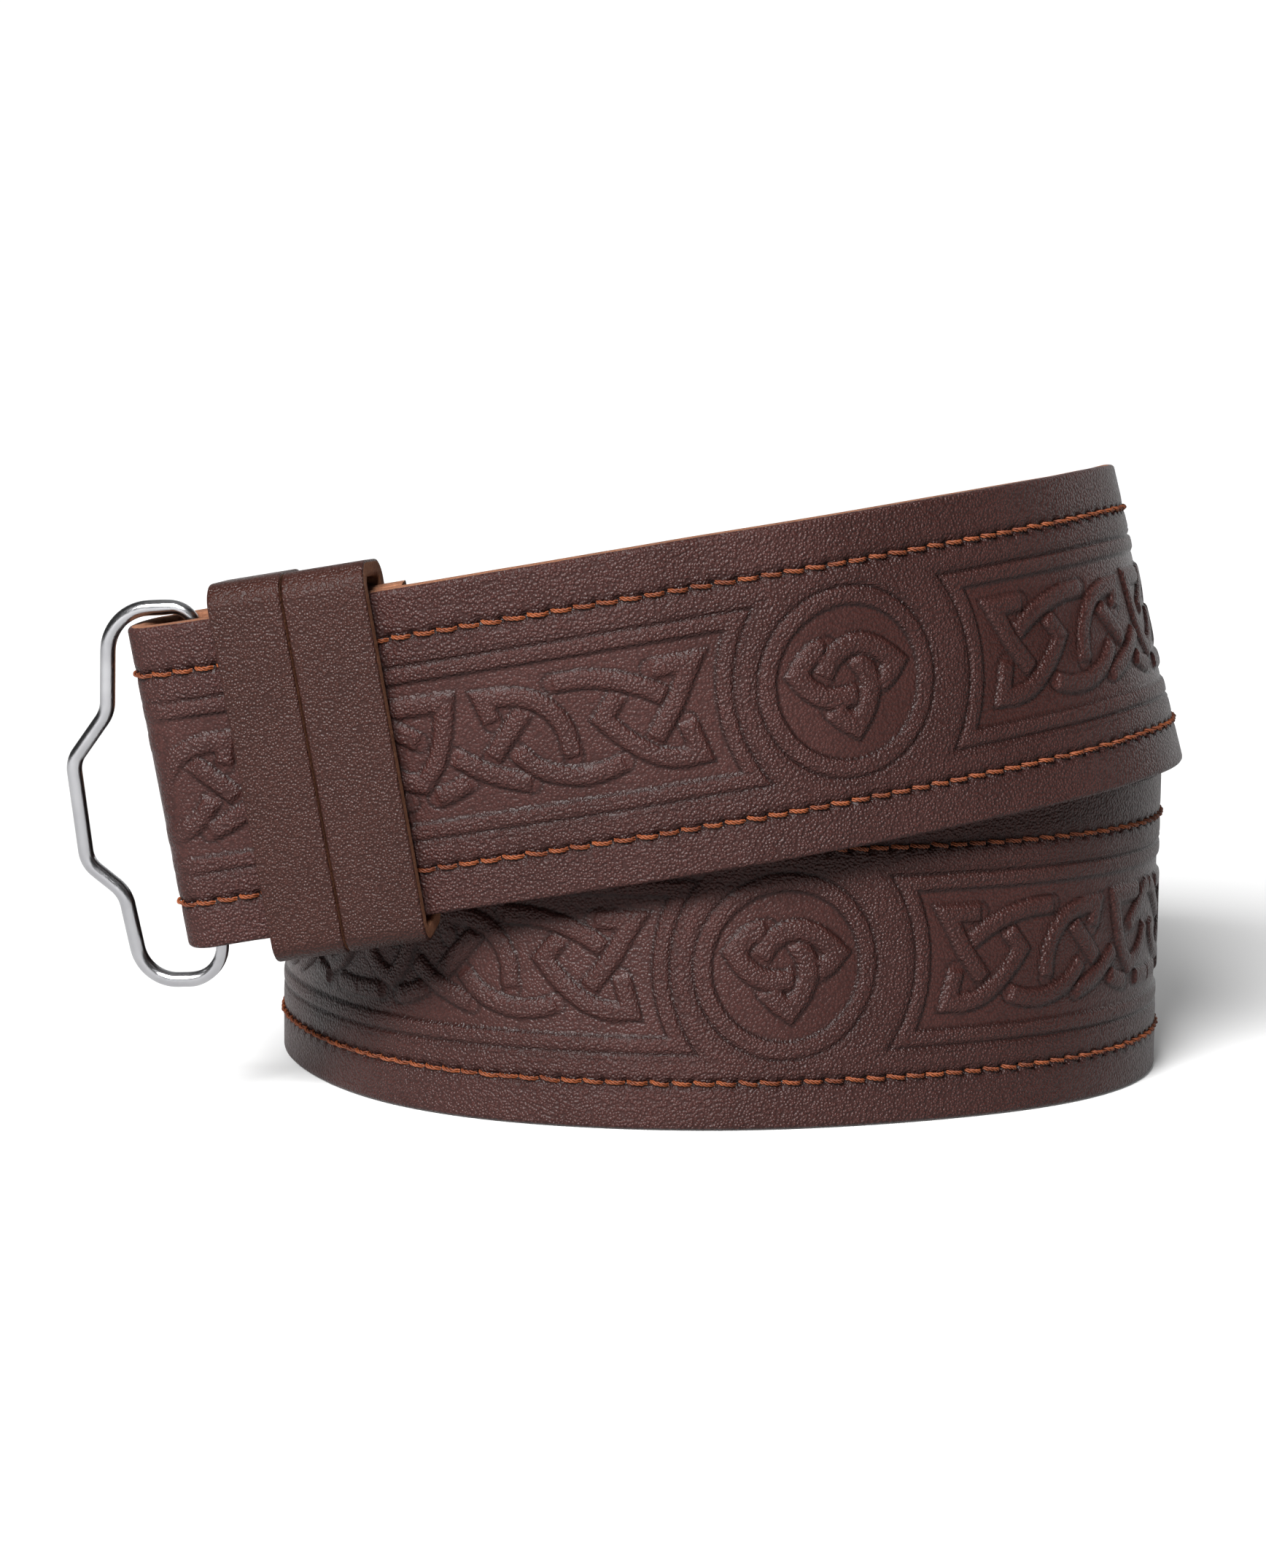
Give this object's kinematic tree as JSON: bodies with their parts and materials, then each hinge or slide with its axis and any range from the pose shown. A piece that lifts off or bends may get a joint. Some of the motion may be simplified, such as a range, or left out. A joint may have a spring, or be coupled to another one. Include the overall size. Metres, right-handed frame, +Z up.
{
  "type": "kilt belt",
  "caption": "Wide embossed leather belt, coiled and standing on its edge, folded at one end round a wire loop and held by loose keepers.",
  "frame": {"origin": "middle of the outline's footprint, on the floor that the belt's lower turn stands on", "axes": "+X to the viewer's right in the picture, +Y away from the viewer, +Z up; the wire loop is at -X"},
  "size_m": [0.2022, 0.179, 0.1146],
  "materials": {
    "strap_leather": "pebbled, dark brown with a slight sheen",
    "keeper_leather": "finely grained, dark brown with a slight sheen",
    "loop_steel": "polished steel wire"
  },
  "bodies": {
    "belt": {"strap": "strap_leather", "keeper_left": "keeper_leather", "keeper_right": "keeper_leather"},
    "loop": {"buckle_loop": "loop_steel"}
  },
  "joints": [
    {"name": "loop_swing", "type": "hinge", "parent": "belt", "child": "loop", "pos_m": [-0.07591, -0.06941, 0.05719], "axis": [-0.058, -0.1485, 0.9872], "range_deg": [-45, 60]}
  ]
}
